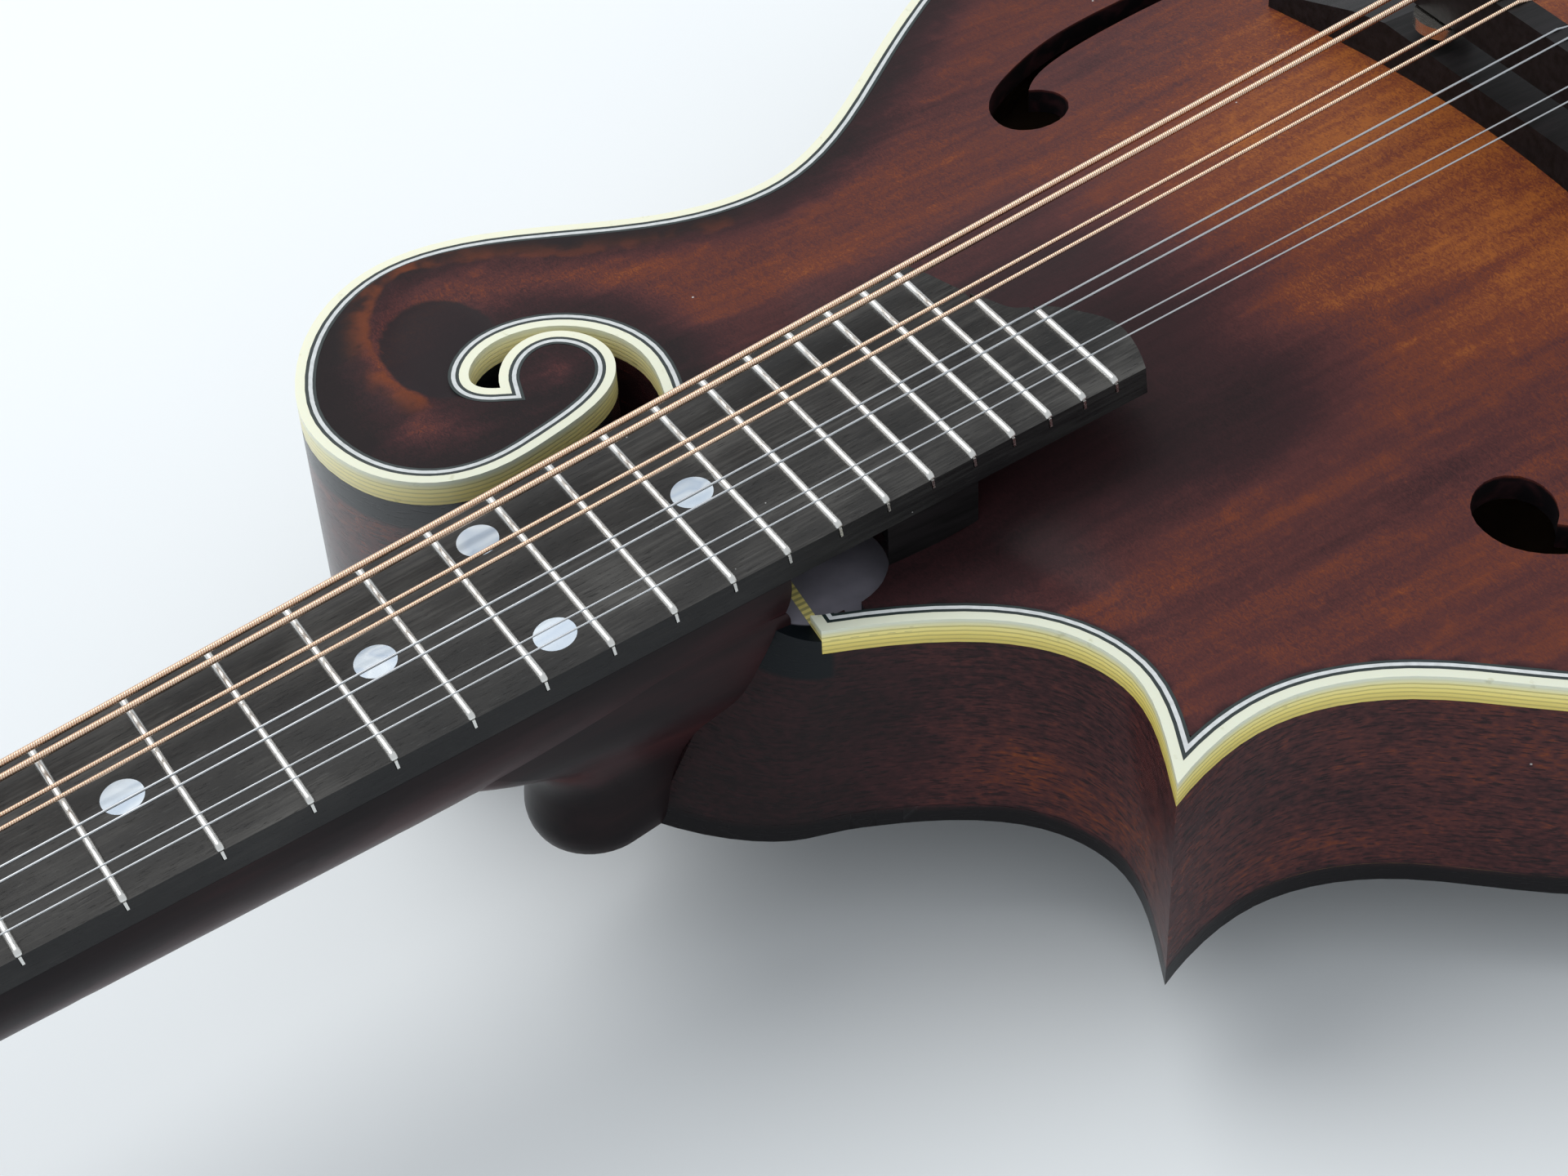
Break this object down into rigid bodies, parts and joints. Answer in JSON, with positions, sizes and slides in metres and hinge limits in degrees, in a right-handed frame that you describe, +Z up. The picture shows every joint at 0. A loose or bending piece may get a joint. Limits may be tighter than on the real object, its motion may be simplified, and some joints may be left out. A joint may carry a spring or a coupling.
{
  "type": "mandolin",
  "caption": "Left-handed scroll-body mandolin: arched top with f-holes, bound rim with points and an open scroll, doubled courses, adjustable bridge and geared tuners.",
  "frame": {"origin": "on the resting surface, under the middle of the overall box", "axes": "+Y towards the headstock, +X towards the scroll and the bass strings, +Z up, the instrument lying on its back"},
  "size_m": [0.253, 0.6904, 0.0891],
  "materials": {
    "top_wood": "satin sunburst stain, near black at the edge, red-brown in the field",
    "body_wood": "satin dark red-brown stain",
    "neck_wood": "satin very dark red-brown stain",
    "inner_wood": "bare",
    "dark_wood": "satin black stain",
    "ebony": "open-grained matt ebony",
    "black_overlay": "satin black",
    "ivory_binding": "grained ivoroid",
    "black_line": "satin black",
    "white_line": "satin white",
    "pearl": "mother-of-pearl",
    "bone": "polished bone",
    "fret_wire": "polished nickel silver",
    "steel": "plain",
    "nickel": "nickel plate",
    "tuner_button": "pearloid button on a nickel shaft",
    "string_steel": "plain tinned steel wire",
    "string_bronze": "phosphor bronze winding"
  },
  "bodies": {
    "instrument": {"top_plate": "top_wood", "binding": "ivory_binding", "purfling_black": "black_line", "purfling_white": "white_line", "back_plate": "body_wood", "rib_scroll_side": "body_wood", "rib_cutaway": "body_wood", "rib_lower_bout": "body_wood", "rib_waist": "body_wood", "scroll_block": "inner_wood", "point_blocks": "inner_wood", "tail_block": "inner_wood", "top_lining": "inner_wood", "back_lining": "inner_wood", "tone_bars": "inner_wood", "tuner_screws": "nickel", "truss_rod_cover": "black_line", "neck": "neck_wood", "head_block": "body_wood", "truss_rod": "steel", "headstock_overlay": "black_overlay", "riser": "dark_wood", "fretboard": "ebony", "fret_dots": "pearl", "side_dots": "white_line", "frets": "fret_wire", "tuner_bushings": "nickel", "tuner_plate_treble": "nickel", "tuner_plate_bass": "nickel", "bridge_base": "ebony", "bridge_posts": "nickel", "tailpiece_base": "nickel", "small_screws": "nickel", "end_pin": "ebony", "strings_plain": "string_steel", "strings_wound": "string_bronze", "nut": "bone"},
    "shaft_1": {"tuner_shaft_1": "tuner_button"},
    "post_1": {"tuner_post_1": "nickel"},
    "shaft_2": {"tuner_shaft_2": "tuner_button"},
    "post_2": {"tuner_post_2": "nickel"},
    "shaft_3": {"tuner_shaft_3": "tuner_button"},
    "post_3": {"tuner_post_3": "nickel"},
    "shaft_4": {"tuner_shaft_4": "tuner_button"},
    "post_4": {"tuner_post_4": "nickel"},
    "shaft_5": {"tuner_shaft_5": "tuner_button"},
    "post_5": {"tuner_post_5": "nickel"},
    "shaft_6": {"tuner_shaft_6": "tuner_button"},
    "post_6": {"tuner_post_6": "nickel"},
    "shaft_7": {"tuner_shaft_7": "tuner_button"},
    "post_7": {"tuner_post_7": "nickel"},
    "shaft_8": {"tuner_shaft_8": "tuner_button"},
    "post_8": {"tuner_post_8": "nickel"},
    "saddle": {"bridge_saddle": "ebony"},
    "wheel_treble": {"thumbwheel_treble": "nickel"},
    "wheel_bass": {"thumbwheel_bass": "nickel"},
    "cover": {"tailpiece_cover": "nickel"}
  },
  "joints": [
    {"name": "shaft_1_turn", "type": "hinge", "parent": "instrument", "child": "shaft_1", "pos_m": [-0.018, 0.22291, 0.03242], "axis": [1, 0, 0], "continuous": true},
    {"name": "post_1_turn", "type": "hinge", "parent": "instrument", "child": "post_1", "pos_m": [-0.018, 0.22051, 0.05224], "axis": [0, 0.299, 0.9543], "continuous": true},
    {"name": "shaft_2_turn", "type": "hinge", "parent": "instrument", "child": "shaft_2", "pos_m": [-0.018, 0.24514, 0.02545], "axis": [1, 0, 0], "continuous": true},
    {"name": "post_2_turn", "type": "hinge", "parent": "instrument", "child": "post_2", "pos_m": [-0.018, 0.24274, 0.04528], "axis": [0, 0.299, 0.9543], "continuous": true},
    {"name": "shaft_3_turn", "type": "hinge", "parent": "instrument", "child": "shaft_3", "pos_m": [-0.018, 0.26738, 0.01849], "axis": [1, 0, 0], "continuous": true},
    {"name": "post_3_turn", "type": "hinge", "parent": "instrument", "child": "post_3", "pos_m": [-0.018, 0.26498, 0.03831], "axis": [0, 0.299, 0.9543], "continuous": true},
    {"name": "shaft_4_turn", "type": "hinge", "parent": "instrument", "child": "shaft_4", "pos_m": [-0.018, 0.28961, 0.01152], "axis": [1, 0, 0], "continuous": true},
    {"name": "post_4_turn", "type": "hinge", "parent": "instrument", "child": "post_4", "pos_m": [-0.018, 0.28721, 0.03135], "axis": [0, 0.299, 0.9543], "continuous": true},
    {"name": "shaft_5_turn", "type": "hinge", "parent": "instrument", "child": "shaft_5", "pos_m": [0.017, 0.22291, 0.03242], "axis": [1, 0, 0], "continuous": true},
    {"name": "post_5_turn", "type": "hinge", "parent": "instrument", "child": "post_5", "pos_m": [0.017, 0.22051, 0.05224], "axis": [0, 0.299, 0.9543], "continuous": true},
    {"name": "shaft_6_turn", "type": "hinge", "parent": "instrument", "child": "shaft_6", "pos_m": [0.017, 0.24514, 0.02545], "axis": [1, 0, 0], "continuous": true},
    {"name": "post_6_turn", "type": "hinge", "parent": "instrument", "child": "post_6", "pos_m": [0.017, 0.24274, 0.04528], "axis": [0, 0.299, 0.9543], "continuous": true},
    {"name": "shaft_7_turn", "type": "hinge", "parent": "instrument", "child": "shaft_7", "pos_m": [0.017, 0.26738, 0.01849], "axis": [1, 0, 0], "continuous": true},
    {"name": "post_7_turn", "type": "hinge", "parent": "instrument", "child": "post_7", "pos_m": [0.017, 0.26498, 0.03831], "axis": [0, 0.299, 0.9543], "continuous": true},
    {"name": "shaft_8_turn", "type": "hinge", "parent": "instrument", "child": "shaft_8", "pos_m": [0.017, 0.28961, 0.01152], "axis": [1, 0, 0], "continuous": true},
    {"name": "post_8_turn", "type": "hinge", "parent": "instrument", "child": "post_8", "pos_m": [0.017, 0.28721, 0.03135], "axis": [0, 0.299, 0.9543], "continuous": true},
    {"name": "saddle_lift", "type": "slide", "parent": "instrument", "child": "saddle", "axis": [0, -0.0611, 0.9981], "range_m": [-0.0014, 0]},
    {"name": "wheel_treble_turn", "type": "hinge", "parent": "saddle", "child": "wheel_treble", "pos_m": [-0.0205, -0.17384, 0.07815], "axis": [0, -0.0611, 0.9981], "range_deg": [-720, 0]},
    {"name": "wheel_bass_turn", "type": "hinge", "parent": "saddle", "child": "wheel_bass", "pos_m": [0.0195, -0.17384, 0.07815], "axis": [0, -0.0611, 0.9981], "range_deg": [-720, 0]},
    {"name": "cover_slide", "type": "slide", "parent": "instrument", "child": "cover", "axis": [0, -0.9981, -0.0611], "range_m": [0, 0.055]}
  ],
  "couplings": [
    {"joint": "post_1_turn", "follows": "shaft_1_turn", "ratio": -0.071429},
    {"joint": "post_2_turn", "follows": "shaft_2_turn", "ratio": -0.071429},
    {"joint": "post_3_turn", "follows": "shaft_3_turn", "ratio": -0.071429},
    {"joint": "post_4_turn", "follows": "shaft_4_turn", "ratio": -0.071429},
    {"joint": "post_5_turn", "follows": "shaft_5_turn", "ratio": 0.071429},
    {"joint": "post_6_turn", "follows": "shaft_6_turn", "ratio": 0.071429},
    {"joint": "post_7_turn", "follows": "shaft_7_turn", "ratio": 0.071429},
    {"joint": "post_8_turn", "follows": "shaft_8_turn", "ratio": 0.071429},
    {"joint": "wheel_treble_turn", "follows": "saddle_lift", "rad_per_m": 8976},
    {"joint": "wheel_bass_turn", "follows": "saddle_lift", "rad_per_m": 8976}
  ]
}
